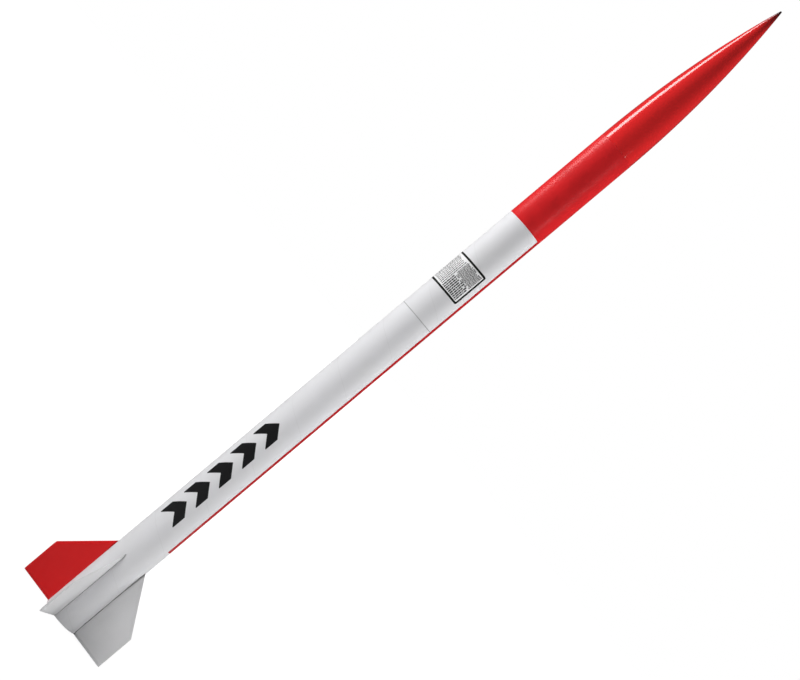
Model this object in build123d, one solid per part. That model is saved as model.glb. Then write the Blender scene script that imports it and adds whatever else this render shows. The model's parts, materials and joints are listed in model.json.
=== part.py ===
from build123d import *
from math import atan2, ceil, cos, radians, sin, sqrt
import os

# A mid-power model rocket standing on its tail: Z is the long axis, nose up.
# Z = 0 is the plane of the tail end and of the fins' trailing edges.
# Azimuths are degrees round Z from -Y towards +X, and the fins lie at 0, 90, 180 and 270.
# All lengths are millimetres.

FIN_AZIMUTHS = (0, 90, 180, 270)

# How far a cutting shape runs past the faces it cuts.
CUT = 1.0

# airframe tubes
TUBE_R = 33.4
TUBE_WALL = 0.9
TUBE_BORE_R = TUBE_R - TUBE_WALL
TUBE_JOINT_Z = 722.9
TUBE_TOP_Z = 1125.2
GLUE_GAP = 0.05
COUPLER_R = TUBE_BORE_R - GLUE_GAP
COUPLER_WALL = 1.05
COUPLER_BORE_R = COUPLER_R - COUPLER_WALL
COUPLER_LENGTH = 100.0

# nose cone: a tangent ogive with a blunt tip, and a shoulder that slips into the tube
NOSE_APEX_LENGTH = 342.3
NOSE_TIP_R = 1.6
NOSE_WALL = 1.8
SHOULDER_CLEARANCE = 0.1
SHOULDER_R = TUBE_BORE_R - SHOULDER_CLEARANCE
SHOULDER_LENGTH = 65.0
SHOULDER_BOTTOM_Z = TUBE_TOP_Z - SHOULDER_LENGTH
SHOULDER_CHAMFER = 0.8
PLUG_THICKNESS = 5.0

# fins, with tabs through the tube wall down to the motor mount
FIN_THICKNESS = 3.2
FIN_ROOT_CHORD = 145.9
FIN_TIP_CHORD = 66.2
FIN_TIP_R = 99.7
FIN_EDGE_THICKNESS = 1.0
FIN_BEVEL_WIDTH = 4.5
TAB_BOTTOM_Z = 24.0
TAB_TOP_Z = 112.0
SLOT_CLEARANCE = 0.1

# motor mount for a 29 mm motor
MOUNT_BORE_R = 14.6
MOUNT_R = 15.5
MOUNT_BOTTOM_Z = 12.0
MOTOR_LENGTH = 124.0
MOUNT_TOP_Z = MOUNT_BOTTOM_Z + MOTOR_LENGTH
THRUST_RING_BORE_R = 12.0
THRUST_RING_HEIGHT = 6.0
RING_THICKNESS = 3.2
AFT_RING_Z = 18.0
FORWARD_RING_Z = 130.5

# sprung motor hook, between two fins
HOOK_AZIMUTH = 45.0
HOOK_WIDTH = 6.3
HOOK_SHEET = 0.8
HOOK_STANDOFF = 0.1
HOOK_INNER_R = MOUNT_R + HOOK_STANDOFF
HOOK_OUTER_R = HOOK_INNER_R + HOOK_SHEET
HOOK_FINGER_R = 12.0
HOOK_THUMB_R = 22.0
HOOK_THUMB_BOTTOM_Z = 5.0
HOOK_FOLD_GAP = 0.5
HOOK_END_GAP = 0.3
HOOK_TANG_GAP = 0.2
HOOK_SLOT_WIDTH = 7.5
BAND_BOTTOM_Z = 116.0
BAND_HEIGHT = 8.0
BAND_WALL = 0.5
BAND_TUNNEL_R = 17.3

# ejection baffle, glued in the coupler, with the recovery cord's anchor
BAFFLE_R = COUPLER_BORE_R - GLUE_GAP
BAFFLE_AFT_Z = 680.0
BAFFLE_AFT_CENTRE_HOLE_R = 4.0
BAFFLE_AFT_HOLE_R = 4.0
BAFFLE_AFT_HOLE_RING_R = 11.0
BAFFLE_AFT_HOLE_COUNT = 6
BAFFLE_FORWARD_Z = 708.0
BAFFLE_FORWARD_HOLE_R = 3.0
BAFFLE_FORWARD_HOLE_RING_R = 24.0
BAFFLE_FORWARD_HOLE_COUNT = 12

# eye bolts with their nuts and washers
EYE_R = 6.5
EYE_WIRE_R = 1.5
EYE_NECK = 1.5
SHANK_R = 2.0
SHANK_HOLE_R = 2.1
SHANK_LENGTH = 11.0
COLLAR_R = 3.6
COLLAR_HEIGHT = 1.0
WASHER_R = 5.0
WASHER_THICKNESS = 0.8
NUT_ACROSS_FLATS = 7.0
NUT_HEIGHT = 3.2

# snap swivel, elastic cord, shroud lines and packed parachute
SWIVEL_RING_R = 3.0
SWIVEL_WIRE_R = 0.6
SWIVEL_STEM = 2.0
BARREL_R = 2.4
BARREL_HEIGHT = 8.0
BARREL_END = 1.5
BARREL_CAVITY_R = 1.6
SNAP_STEM_R = 0.72
SNAP_STEM_HOLE_R = 0.8
SNAP_STEM = 3.0
SNAP_HEAD_R = 1.4
SNAP_HEAD_HEIGHT = 2.5
SNAP_HEAD_GAP = 0.5
SNAP_STRAIGHT = 10.0
LINK_GAP = 0.2
CORD_R = 1.6
BEND_SWELL = 1.04
CORD_LOOP_R = 3.6
CORD_KNOT_R = 2.8
CORD_COIL_R = 28.2
CORD_TURNS = 2.5
CORD_COIL_BOTTOM_Z = 762.0
CORD_COIL_TOP_Z = 982.0
CORD_RUNS_PER_TURN = 12
CORD_RISE = 20.0
LINE_R = 0.6
LINE_COUNT = 8
LINE_LOOP_R = 2.2
LINE_KNOT_R = 2.0
LINE_SPREAD_R = 12.0
PACK_R = 23.5
PACK_BOTTOM_Z = 800.0
PACK_TOP_Z = 988.0
PACK_EDGE_R = 8.0

# launch lugs for a 6.35 mm rod, on the side away from the markings
LUG_AZIMUTH = 225.0
LUG_BORE_R = 3.57
LUG_WALL = 0.6
LUG_LENGTH = 50.0
LUG_AFT_Z = 100.0
LUG_FORWARD_Z = 610.0
LUG_BED_WIDTH = 4.6

# self-adhesive trim
FILM = 0.1
PRINT = 0.05
FILM_FACET = 6.0
WRAP_BOTTOM_Z = 939.9
STRIPE_BOTTOM_Z = 193.9
STRIPE_AZIMUTH = 90.0
STRIPE_ARC = 22.0
PANEL_BOTTOM_Z = 779.6
PANEL_HEIGHT = 62.9
PANEL_AZIMUTH = -11.0
PANEL_ARC = 138.0
PANEL_BORDER = 2.5
RULE_COUNT = 9
RULE_MARGIN = 5.0
RULE_STEP_ARC = 12.0
MARK_AZIMUTH = -4.5
MARK_BOTTOM_Z = 225.7
MARK_PITCH = 46.6
MARK_LENGTH = 43.5
MARK_HALF_HEIGHT = 16.6
MARK_STROKE = 25.0
MARK_COUNT = 5


def disc(radius, z0, z1, x=0.0, y=0.0):
    """A vertical cylinder between two heights."""
    bottom = (Align.CENTER, Align.CENTER, Align.MIN)
    return Pos(x, y, z0) * Cylinder(radius, z1 - z0, align=bottom)


def tube(outer_r, inner_r, z0, z1):
    """A vertical tube between two heights."""
    return disc(outer_r, z0, z1) - disc(inner_r, z0 - CUT, z1 + CUT)


def block(r0, r1, width, z0, z1, azimuth):
    """A box standing on one azimuth, from radius r0 to r1."""
    corner = (Align.MIN, Align.CENTER, Align.MIN)
    return turned(Pos(r0, 0, z0) * Box(r1 - r0, width, z1 - z0, align=corner), azimuth)


def turned(shape, azimuth):
    """Turn a shape made on +X round to an azimuth."""
    return Rot(0, 0, azimuth - 90) * shape


def at_azimuth(radius, azimuth):
    """The X and Y of a point at a radius and azimuth."""
    return radius * sin(radians(azimuth)), -radius * cos(radians(azimuth))


def curved_film(inner_r, thickness, azimuth, arc, z0, z1):
    """A patch of film wrapped on a cylinder, centred on an azimuth, in facets of a few degrees."""
    steps = ceil(arc / FILM_FACET)
    step = arc / steps
    outer_r = inner_r + thickness
    outer = [CenterArc((0, 0), outer_r, -arc / 2 + k * step, step) for k in range(steps)]
    inner = [CenterArc((0, 0), inner_r, -arc / 2 + k * step, step) for k in range(steps)]
    ends = [Line(inner[0] @ 0, outer[0] @ 0), Line(inner[-1] @ 1, outer[-1] @ 1)]
    patch = extrude(Face(Wire(outer + inner + ends)), z1 - z0, clean=False)
    return turned(Pos(0, 0, z0) * patch, azimuth)


def lower_body_tube():
    body = tube(TUBE_R, TUBE_BORE_R, 0, TUBE_JOINT_Z)
    slot_width = FIN_THICKNESS + 2 * SLOT_CLEARANCE
    slot_z = (TAB_BOTTOM_Z - SLOT_CLEARANCE, TAB_TOP_Z + SLOT_CLEARANCE)
    for azimuth in FIN_AZIMUTHS:
        body -= block(TUBE_BORE_R - CUT, TUBE_R + CUT, slot_width, *slot_z, azimuth)
    return body


def upper_body_tube():
    return tube(TUBE_R, TUBE_BORE_R, TUBE_JOINT_Z, TUBE_TOP_Z)


def tube_coupler():
    half = COUPLER_LENGTH / 2
    return tube(COUPLER_R, COUPLER_BORE_R, TUBE_JOINT_Z - half, TUBE_JOINT_Z + half)


def fin_edge_cutter(start, end, inward):
    """Two wedges that bevel both faces of a fin along one straight edge, given as (radius, height) points."""
    start, end = Vector(start[0], 0, start[1]), Vector(end[0], 0, end[1])
    run = (end - start).normalized()
    reach = 1.5 * FIN_BEVEL_WIDTH
    rise = (FIN_THICKNESS - FIN_EDGE_THICKNESS) / 2 / FIN_BEVEL_WIDTH
    low = FIN_EDGE_THICKNESS / 2 - rise
    high = FIN_EDGE_THICKNESS / 2 + rise * reach
    margin = 10.0
    section = Plane(origin=start - run * margin, x_dir=Vector(inward[0], 0, inward[1]), z_dir=run)
    cutter = None
    for side in (1, -1):
        outline = Polyline((-1, side * low), (reach, side * high), (-1, side * high), close=True)
        wedge = extrude(section * make_face(outline), (end - start).length + 2 * margin)
        cutter = wedge if cutter is None else cutter + wedge
    return cutter


def fin(azimuth):
    root_top = (TUBE_R, FIN_ROOT_CHORD)
    tip_top = (FIN_TIP_R, FIN_TIP_CHORD)
    tip_bottom = (FIN_TIP_R, 0.0)
    root_bottom = (TUBE_R, 0.0)
    tab_end_r = MOUNT_R + GLUE_GAP
    outline = Polyline(
        root_bottom,
        tip_bottom,
        tip_top,
        root_top,
        (TUBE_R, TAB_TOP_Z),
        (tab_end_r, TAB_TOP_Z),
        (tab_end_r, TAB_BOTTOM_Z),
        (TUBE_R, TAB_BOTTOM_Z),
        close=True,
    )
    plate = extrude(Plane.XZ * make_face(outline), FIN_THICKNESS / 2, both=True)
    lead = Vector(tip_top[0] - root_top[0], tip_top[1] - root_top[1]).normalized()
    plate -= fin_edge_cutter(root_top, tip_top, (lead.Y, -lead.X))
    plate -= fin_edge_cutter(root_bottom, tip_bottom, (0, 1))
    return turned(plate, azimuth)


def centering_ring(z0, hook_slot_r):
    """A plywood ring between the mount tube and the body tube, slotted for the motor hook."""
    z1 = z0 + RING_THICKNESS
    ring = tube(TUBE_BORE_R - GLUE_GAP, MOUNT_R + GLUE_GAP, z0, z1)
    return ring - block(MOUNT_R - CUT, hook_slot_r, HOOK_SLOT_WIDTH, z0 - CUT, z1 + CUT, HOOK_AZIMUTH)


def motor_mount_tube():
    return tube(MOUNT_R, MOUNT_BORE_R, MOUNT_BOTTOM_Z, MOUNT_TOP_Z)


def thrust_ring():
    return tube(MOUNT_R, THRUST_RING_BORE_R, MOUNT_TOP_Z, MOUNT_TOP_Z + THRUST_RING_HEIGHT)


def motor_hook():
    """A strip of spring steel: tang over the thrust ring, strip down the mount, folded finger and thumb tab."""
    tang_z = MOUNT_TOP_Z + THRUST_RING_HEIGHT + HOOK_TANG_GAP
    finger_top = MOUNT_BOTTOM_Z - HOOK_END_GAP
    finger_bottom = finger_top - HOOK_SHEET
    fold_top = finger_bottom - HOOK_FOLD_GAP
    fold_bottom = fold_top - HOOK_SHEET
    pieces = (
        (HOOK_INNER_R, HOOK_OUTER_R, finger_bottom, tang_z + HOOK_SHEET),
        (HOOK_FINGER_R, HOOK_OUTER_R, tang_z, tang_z + HOOK_SHEET),
        (HOOK_FINGER_R, HOOK_OUTER_R, finger_bottom, finger_top),
        (HOOK_FINGER_R, HOOK_FINGER_R + HOOK_SHEET, fold_bottom, finger_top),
        (HOOK_FINGER_R, HOOK_THUMB_R, fold_bottom, fold_top),
        (HOOK_THUMB_R - HOOK_SHEET, HOOK_THUMB_R, HOOK_THUMB_BOTTOM_Z, fold_top),
    )
    hook = None
    for r0, r1, z0, z1 in pieces:
        piece = block(r0, r1, HOOK_WIDTH, z0, z1, HOOK_AZIMUTH)
        hook = piece if hook is None else hook + piece
    return hook


def hook_retaining_band():
    """A band round the mount tube with a raised tunnel that keeps the hook's strip in place."""
    z0, z1 = BAND_BOTTOM_Z, BAND_BOTTOM_Z + BAND_HEIGHT
    tunnel_outer_r = BAND_TUNNEL_R + BAND_WALL
    tunnel_width = HOOK_SLOT_WIDTH + 2 * BAND_WALL
    band = disc(MOUNT_R + BAND_WALL, z0, z1) + block(0, tunnel_outer_r, tunnel_width, z0, z1, HOOK_AZIMUTH)
    band -= disc(MOUNT_R + GLUE_GAP, z0 - CUT, z1 + CUT)
    return band - block(0, BAND_TUNNEL_R, HOOK_SLOT_WIDTH, z0 - CUT, z1 + CUT, HOOK_AZIMUTH)


def baffle_plate(z0, centre_hole_r, hole_r, hole_ring_r, hole_count):
    """A plywood disc in the coupler that lets gas round a corner but stops hot particles."""
    z1 = z0 + RING_THICKNESS
    plate = disc(BAFFLE_R, z0, z1) - disc(centre_hole_r, z0 - CUT, z1 + CUT)
    for k in range(hole_count):
        x, y = at_azimuth(hole_ring_r, 360 / hole_count * k)
        plate -= disc(hole_r, z0 - CUT, z1 + CUT, x, y)
    return plate


def baffle_plate_aft():
    ring = (BAFFLE_AFT_HOLE_R, BAFFLE_AFT_HOLE_RING_R, BAFFLE_AFT_HOLE_COUNT)
    return baffle_plate(BAFFLE_AFT_Z, BAFFLE_AFT_CENTRE_HOLE_R, *ring)


def baffle_plate_forward():
    ring = (BAFFLE_FORWARD_HOLE_R, BAFFLE_FORWARD_HOLE_RING_R, BAFFLE_FORWARD_HOLE_COUNT)
    return baffle_plate(BAFFLE_FORWARD_Z, SHANK_HOLE_R, *ring)


def eye_bolt(seat_z, up):
    """An eye bolt whose collar seats at seat_z, with its eye above (up = 1) or below (up = -1) the seat."""
    centre_z = EYE_NECK + EYE_WIRE_R + EYE_R
    eye = Pos(0, 0, centre_z) * Rot(90, 0, 0) * Torus(EYE_R, EYE_WIRE_R)
    bolt = eye + disc(SHANK_R, -SHANK_LENGTH, EYE_NECK + EYE_WIRE_R) + disc(COLLAR_R, 0, COLLAR_HEIGHT)
    return Pos(0, 0, seat_z) * (bolt if up > 0 else Rot(180, 0, 0) * bolt)


def washer(z0):
    return tube(WASHER_R, SHANK_HOLE_R, z0, z0 + WASHER_THICKNESS)


def nut(z0):
    hexagon = RegularPolygon(NUT_ACROSS_FLATS / 2, 6, major_radius=False)
    hole = disc(SHANK_R + GLUE_GAP, z0 - CUT, z0 + NUT_HEIGHT + CUT)
    return Pos(0, 0, z0) * extrude(hexagon, NUT_HEIGHT) - hole


def nose_cone():
    """Hollow moulded ogive and shoulder, open below the shoulder, revolved about Z."""
    curve_r = (TUBE_R**2 + NOSE_APEX_LENGTH**2) / (2 * TUBE_R)
    curve_x = curve_r - TUBE_R
    inner_curve_r = curve_r - NOSE_WALL
    shoulder_inner_r = SHOULDER_R - NOSE_WALL
    base = TUBE_TOP_Z
    chamfer_r = SHOULDER_R - SHOULDER_CHAMFER
    chamfer_z = SHOULDER_BOTTOM_Z + SHOULDER_CHAMFER
    tip_z = sqrt((curve_r - NOSE_TIP_R) ** 2 - curve_x**2)
    scale = curve_r / (curve_r - NOSE_TIP_R)
    tangent = (curve_x * (scale - 1), base + tip_z * scale)
    apex = (0, base + tip_z + NOSE_TIP_R)

    def on_curve(radius_of_curve, height):
        return sqrt(radius_of_curve**2 - height**2) - curve_x, base + height

    inner_start_height = sqrt(inner_curve_r**2 - (shoulder_inner_r + curve_x) ** 2)
    inner_top_height = sqrt(inner_curve_r**2 - curve_x**2)
    tip_turn = atan2(tangent[1] - base - tip_z, tangent[0])
    tip_middle_turn = (tip_turn + radians(90)) / 2
    tip_side = (NOSE_TIP_R * cos(tip_middle_turn), base + tip_z + NOSE_TIP_R * sin(tip_middle_turn))
    profile = [
        Line((shoulder_inner_r, SHOULDER_BOTTOM_Z), (chamfer_r, SHOULDER_BOTTOM_Z)),
        Line((chamfer_r, SHOULDER_BOTTOM_Z), (SHOULDER_R, chamfer_z)),
        Line((SHOULDER_R, chamfer_z), (SHOULDER_R, base)),
        Line((SHOULDER_R, base), (TUBE_R, base)),
        ThreePointArc((TUBE_R, base), on_curve(curve_r, NOSE_APEX_LENGTH / 2), tangent),
        ThreePointArc(tangent, tip_side, apex),
        Line(apex, (0, base + inner_top_height)),
        ThreePointArc(
            (0, base + inner_top_height),
            on_curve(inner_curve_r, inner_top_height / 2),
            on_curve(inner_curve_r, inner_start_height),
        ),
        Line(on_curve(inner_curve_r, inner_start_height), (shoulder_inner_r, SHOULDER_BOTTOM_Z)),
    ]
    return revolve(Plane.XZ * make_face(Curve() + profile), Axis.Z)


def nose_base_plug():
    z0, z1 = SHOULDER_BOTTOM_Z, SHOULDER_BOTTOM_Z + PLUG_THICKNESS
    return tube(SHOULDER_R - NOSE_WALL - GLUE_GAP, SHANK_HOLE_R, z0, z1)


NOSE_EYE_Z = SHOULDER_BOTTOM_Z - EYE_NECK - EYE_WIRE_R - EYE_R
NOSE_EYE_WIRE_Z = NOSE_EYE_Z - EYE_R
ANCHOR_SEAT_Z = BAFFLE_FORWARD_Z + RING_THICKNESS
ANCHOR_EYE_Z = ANCHOR_SEAT_Z + EYE_NECK + EYE_WIRE_R + EYE_R

SWIVEL_RING_Z = NOSE_EYE_WIRE_Z + EYE_WIRE_R + SWIVEL_WIRE_R + LINK_GAP - SWIVEL_RING_R
BARREL_TOP_Z = SWIVEL_RING_Z - SWIVEL_RING_R - SWIVEL_STEM
BARREL_BOTTOM_Z = BARREL_TOP_Z - BARREL_HEIGHT
SNAP_TOP_Z = BARREL_BOTTOM_Z - SNAP_STEM
SNAP_BOTTOM_Z = SNAP_TOP_Z - SNAP_STRAIGHT - 2 * SWIVEL_RING_R


def swivel_barrel():
    """The half of the swivel that hangs from the nose's eye: a ring, and a barrel hollow for the snap's head."""
    ring = Pos(0, 0, SWIVEL_RING_Z) * Rot(0, 90, 0) * Torus(SWIVEL_RING_R, SWIVEL_WIRE_R)
    stem = disc(SWIVEL_WIRE_R, BARREL_TOP_Z - BARREL_END / 2, SWIVEL_RING_Z - SWIVEL_RING_R)
    barrel = ring + stem + disc(BARREL_R, BARREL_BOTTOM_Z, BARREL_TOP_Z)
    barrel -= disc(BARREL_CAVITY_R, BARREL_BOTTOM_Z + BARREL_END, BARREL_TOP_Z - BARREL_END)
    return barrel - disc(SNAP_STEM_HOLE_R, BARREL_BOTTOM_Z - CUT, BARREL_BOTTOM_Z + BARREL_END + CUT)


def swivel_snap():
    """The half that turns: a headed stem in the barrel, and the long wire loop the lines clip into."""
    head_bottom = BARREL_BOTTOM_Z + BARREL_END + SNAP_HEAD_GAP
    head_top = head_bottom + SNAP_HEAD_HEIGHT
    stem = disc(SNAP_STEM_R, SNAP_TOP_Z, (head_bottom + head_top) / 2)
    head = disc(SNAP_HEAD_R, head_bottom, head_top)
    loop = SlotCenterToCenter(SNAP_STRAIGHT, 2 * SWIVEL_RING_R)
    middle = Pos(0, 0, (SNAP_TOP_Z + SNAP_BOTTOM_Z) / 2) * Rot(0, 90, 0)
    path = middle * loop.face().outer_wire()
    section = Plane(origin=path @ 0, z_dir=path % 0) * Circle(SWIVEL_WIRE_R)
    return stem + head + sweep(section, path)


def rope(points, radius):
    """A round rope through the points, with a slightly fuller ball at each bend."""
    made = Pos(*points[0]) * Sphere(BEND_SWELL * radius)
    for a, b in zip(points, points[1:]):
        run = Vector(*b) - Vector(*a)
        section = Plane(origin=a, z_dir=run) * Circle(radius)
        made = made + extrude(section, run.length) + Pos(*b) * Sphere(BEND_SWELL * radius)
    return made


def shock_cord():
    """Elastic cord: looped on the anchor eye, coiled round the parachute, looped on the nose's eye."""
    anchor_loop_z = ANCHOR_EYE_Z + EYE_R - EYE_WIRE_R - CORD_R - LINK_GAP + CORD_LOOP_R
    anchor_loop = Pos(0, 0, anchor_loop_z) * Rot(0, 90, 0) * Torus(CORD_LOOP_R, CORD_R)
    anchor_knot = (0, 0, anchor_loop_z + CORD_LOOP_R + CORD_R)
    nose_loop_x = -EYE_R + EYE_WIRE_R + CORD_R + LINK_GAP - CORD_LOOP_R
    nose_loop = Pos(nose_loop_x, 0, NOSE_EYE_Z) * Torus(CORD_LOOP_R, CORD_R)
    nose_knot = (nose_loop_x - CORD_LOOP_R - CORD_R, 0, NOSE_EYE_Z)
    coil = []
    runs = round(CORD_TURNS * CORD_RUNS_PER_TURN)
    for k in range(runs + 1):
        turn = radians(360 * CORD_TURNS * k / runs)
        z = CORD_COIL_BOTTOM_Z + (CORD_COIL_TOP_Z - CORD_COIL_BOTTOM_Z) * k / runs
        coil.append((CORD_COIL_R * cos(turn), CORD_COIL_R * sin(turn), z))
    cord = anchor_loop + Pos(*anchor_knot) * Sphere(CORD_KNOT_R)
    cord += rope([anchor_knot, *coil, (-CORD_COIL_R, 0, NOSE_EYE_Z - CORD_RISE), nose_knot], CORD_R)
    return cord + nose_loop + Pos(*nose_knot) * Sphere(CORD_KNOT_R)


def shroud_lines():
    """Lines gathered on a small loop through the snap, fanning down to the packed canopy."""
    loop_z = SNAP_BOTTOM_Z + SWIVEL_WIRE_R + LINE_R + LINK_GAP - LINE_LOOP_R
    knot_z = loop_z - LINE_LOOP_R - LINE_KNOT_R
    lines = Pos(0, 0, loop_z) * Rot(90, 0, 0) * Torus(LINE_LOOP_R, LINE_R)
    lines += Pos(0, 0, knot_z) * Sphere(LINE_KNOT_R)
    for k in range(LINE_COUNT):
        x, y = at_azimuth(LINE_SPREAD_R, 360 / LINE_COUNT * (k + 0.5))
        lines += rope([(0, 0, knot_z), (x, y, PACK_TOP_Z + 2 * LINE_R)], LINE_R)
    return lines


def parachute_canopy():
    pack = disc(PACK_R, PACK_BOTTOM_Z, PACK_TOP_Z)
    return fillet(pack.edges().filter_by(GeomType.CIRCLE), PACK_EDGE_R)


def launch_lug(z0):
    """A guide tube for the launch rod, on a narrow glue bed."""
    centre_r = TUBE_R + LUG_BORE_R + LUG_WALL
    x, y = at_azimuth(centre_r, LUG_AZIMUTH)
    z1 = z0 + LUG_LENGTH
    lug = disc(LUG_BORE_R + LUG_WALL, z0, z1, x, y)
    lug += block(TUBE_R - CUT, centre_r, LUG_BED_WIDTH, z0, z1, LUG_AZIMUTH)
    lug -= disc(TUBE_R, z0 - CUT, z1 + CUT)
    return lug - disc(LUG_BORE_R, z0 - CUT, z1 + CUT, x, y)


def nose_end_wrap():
    return tube(TUBE_R + FILM, TUBE_R, WRAP_BOTTOM_Z, TUBE_TOP_Z)


def side_stripe():
    return curved_film(TUBE_R, FILM, STRIPE_AZIMUTH, STRIPE_ARC, STRIPE_BOTTOM_Z, WRAP_BOTTOM_Z)


def data_panel():
    return curved_film(TUBE_R, FILM, PANEL_AZIMUTH, PANEL_ARC, PANEL_BOTTOM_Z, PANEL_BOTTOM_Z + PANEL_HEIGHT)


def data_panel_print():
    """The printed border and plain rule lines on the data panel."""
    face_r = TUBE_R + FILM
    top = PANEL_BOTTOM_Z + PANEL_HEIGHT
    degrees_per_mm = 1 / radians(1) / TUBE_R
    hole_arc = PANEL_ARC - 2 * PANEL_BORDER * degrees_per_mm
    hole_z = (PANEL_BOTTOM_Z + PANEL_BORDER, top - PANEL_BORDER)
    border = curved_film(face_r, PRINT, PANEL_AZIMUTH, PANEL_ARC, PANEL_BOTTOM_Z, top)
    border -= curved_film(face_r - CUT, PRINT + 2 * CUT, PANEL_AZIMUTH, hole_arc, *hole_z)
    rules = []
    pitch = (PANEL_HEIGHT - 2 * PANEL_BORDER) / (RULE_COUNT + 1)
    for k in range(RULE_COUNT):
        z0 = hole_z[0] + pitch * (k + 0.75)
        arc = hole_arc - 2 * RULE_MARGIN * degrees_per_mm - RULE_STEP_ARC * (k % 3)
        rules.append(curved_film(face_r, PRINT, PANEL_AZIMUTH, arc, z0, z0 + pitch / 2))
    return Compound([border.solid()] + [rule.solid() for rule in rules])


def body_markings():
    """Bold chevrons in a row, pointing to the nose."""
    shell = tube(TUBE_R + FILM, TUBE_R, MARK_BOTTOM_Z - CUT, MARK_BOTTOM_Z + MARK_COUNT * MARK_PITCH)
    sweep_back = MARK_LENGTH - MARK_STROKE
    marks = []
    for k in range(MARK_COUNT):
        z0 = MARK_BOTTOM_Z + k * MARK_PITCH
        outline = Polyline(
            (-MARK_HALF_HEIGHT, z0),
            (0, z0 + sweep_back),
            (MARK_HALF_HEIGHT, z0),
            (MARK_HALF_HEIGHT, z0 + MARK_STROKE),
            (0, z0 + MARK_LENGTH),
            (-MARK_HALF_HEIGHT, z0 + MARK_STROKE),
            close=True,
        )
        prism = extrude(Plane.XZ * make_face(outline), TUBE_R + CUT)
        marks.append((shell & Rot(0, 0, MARK_AZIMUTH) * prism).solid())
    return Compound(marks)


PARTS = {
    "lower_body_tube": lower_body_tube,
    "upper_body_tube": upper_body_tube,
    "tube_coupler": tube_coupler,
    "fin_red": lambda: fin(270),
    "fin_front": lambda: fin(0),
    "fin_right": lambda: fin(90),
    "fin_back": lambda: fin(180),
    "centering_ring_aft": lambda: centering_ring(AFT_RING_Z, HOOK_THUMB_R),
    "centering_ring_forward": lambda: centering_ring(FORWARD_RING_Z, BAND_TUNNEL_R),
    "motor_mount_tube": motor_mount_tube,
    "thrust_ring": thrust_ring,
    "motor_hook": motor_hook,
    "hook_retaining_band": hook_retaining_band,
    "baffle_plate_aft": baffle_plate_aft,
    "baffle_plate_forward": baffle_plate_forward,
    "anchor_eye_bolt": lambda: eye_bolt(ANCHOR_SEAT_Z, up=1),
    "anchor_washer": lambda: washer(BAFFLE_FORWARD_Z - WASHER_THICKNESS),
    "anchor_nut": lambda: nut(BAFFLE_FORWARD_Z - WASHER_THICKNESS - NUT_HEIGHT),
    "nose_cone": nose_cone,
    "nose_base_plug": nose_base_plug,
    "nose_eye_bolt": lambda: eye_bolt(SHOULDER_BOTTOM_Z, up=-1),
    "nose_washer": lambda: washer(SHOULDER_BOTTOM_Z + PLUG_THICKNESS),
    "nose_nut": lambda: nut(SHOULDER_BOTTOM_Z + PLUG_THICKNESS + WASHER_THICKNESS),
    "swivel_barrel": swivel_barrel,
    "swivel_snap": swivel_snap,
    "shock_cord": shock_cord,
    "shroud_lines": shroud_lines,
    "parachute_canopy": parachute_canopy,
    "launch_lug_aft": lambda: launch_lug(LUG_AFT_Z),
    "launch_lug_forward": lambda: launch_lug(LUG_FORWARD_Z),
    "nose_end_wrap": nose_end_wrap,
    "side_stripe": side_stripe,
    "data_panel": data_panel,
    "data_panel_print": data_panel_print,
    "body_markings": body_markings,
}

os.makedirs("parts", exist_ok=True)
for name, make in PARTS.items():
    export_step(make(), f"parts/{name}.step")
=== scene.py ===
import bmesh
import bpy
import json
from math import atan2, ceil, cos, pi, radians, sin, sqrt, tau
from mathutils import Matrix, Quaternion, Vector, noise

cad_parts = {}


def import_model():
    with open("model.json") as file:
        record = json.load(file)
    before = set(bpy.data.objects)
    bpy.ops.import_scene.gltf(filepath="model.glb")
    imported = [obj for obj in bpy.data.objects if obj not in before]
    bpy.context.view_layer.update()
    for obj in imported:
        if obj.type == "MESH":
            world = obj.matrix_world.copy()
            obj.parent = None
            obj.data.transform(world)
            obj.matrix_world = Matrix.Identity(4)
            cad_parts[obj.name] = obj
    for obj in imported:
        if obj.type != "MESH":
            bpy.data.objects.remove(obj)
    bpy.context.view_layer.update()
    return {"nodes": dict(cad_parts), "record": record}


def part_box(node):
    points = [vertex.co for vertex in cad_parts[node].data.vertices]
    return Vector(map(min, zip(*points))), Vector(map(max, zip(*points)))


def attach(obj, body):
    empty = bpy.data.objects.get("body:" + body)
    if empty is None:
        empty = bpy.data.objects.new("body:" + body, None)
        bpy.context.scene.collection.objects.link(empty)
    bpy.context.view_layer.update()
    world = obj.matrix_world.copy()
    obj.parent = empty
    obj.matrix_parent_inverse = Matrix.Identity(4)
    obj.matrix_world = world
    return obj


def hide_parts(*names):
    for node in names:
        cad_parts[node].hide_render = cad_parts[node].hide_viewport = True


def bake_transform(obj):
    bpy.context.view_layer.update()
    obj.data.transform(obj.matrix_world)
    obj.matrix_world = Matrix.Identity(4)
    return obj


# A model rocket on its tail. Metres; +Z is up the body, azimuths are degrees from -Y towards +X.
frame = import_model()
MM = 0.001


def low(node):
    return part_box(node)[0]


def high(node):
    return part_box(node)[1]


# -------- sizes, from the frame
TUBE_R = high("lower_body_tube").x
TUBE_WALL = 0.9 * MM
BORE_R = TUBE_R - TUBE_WALL
JOINT_Z = high("lower_body_tube").z
TUBE_TOP = high("upper_body_tube").z
TIP_Z = high("nose_cone").z
SHOULDER_BOTTOM = low("nose_cone").z
SHOULDER_R = BORE_R - 0.1 * MM
NOSE_WALL = 1.8 * MM
NOSE_TIP_R = 1.6 * MM
FILM = 0.1 * MM
PRINT = 0.05 * MM
MOUNTS = {m["name"]: m for m in frame["record"]["mounts"]}
FIN_AZIMUTHS = {"fin_front": 0, "fin_right": 90, "fin_back": 180, "fin_red": 270}
FIN_THICKNESS = high("fin_right").y - low("fin_right").y
FIN_ROOT_TOP = high("fin_right").z
ROOT_EASE = 0.6 * MM
JOINT_EASE = 0.4 * MM


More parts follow.
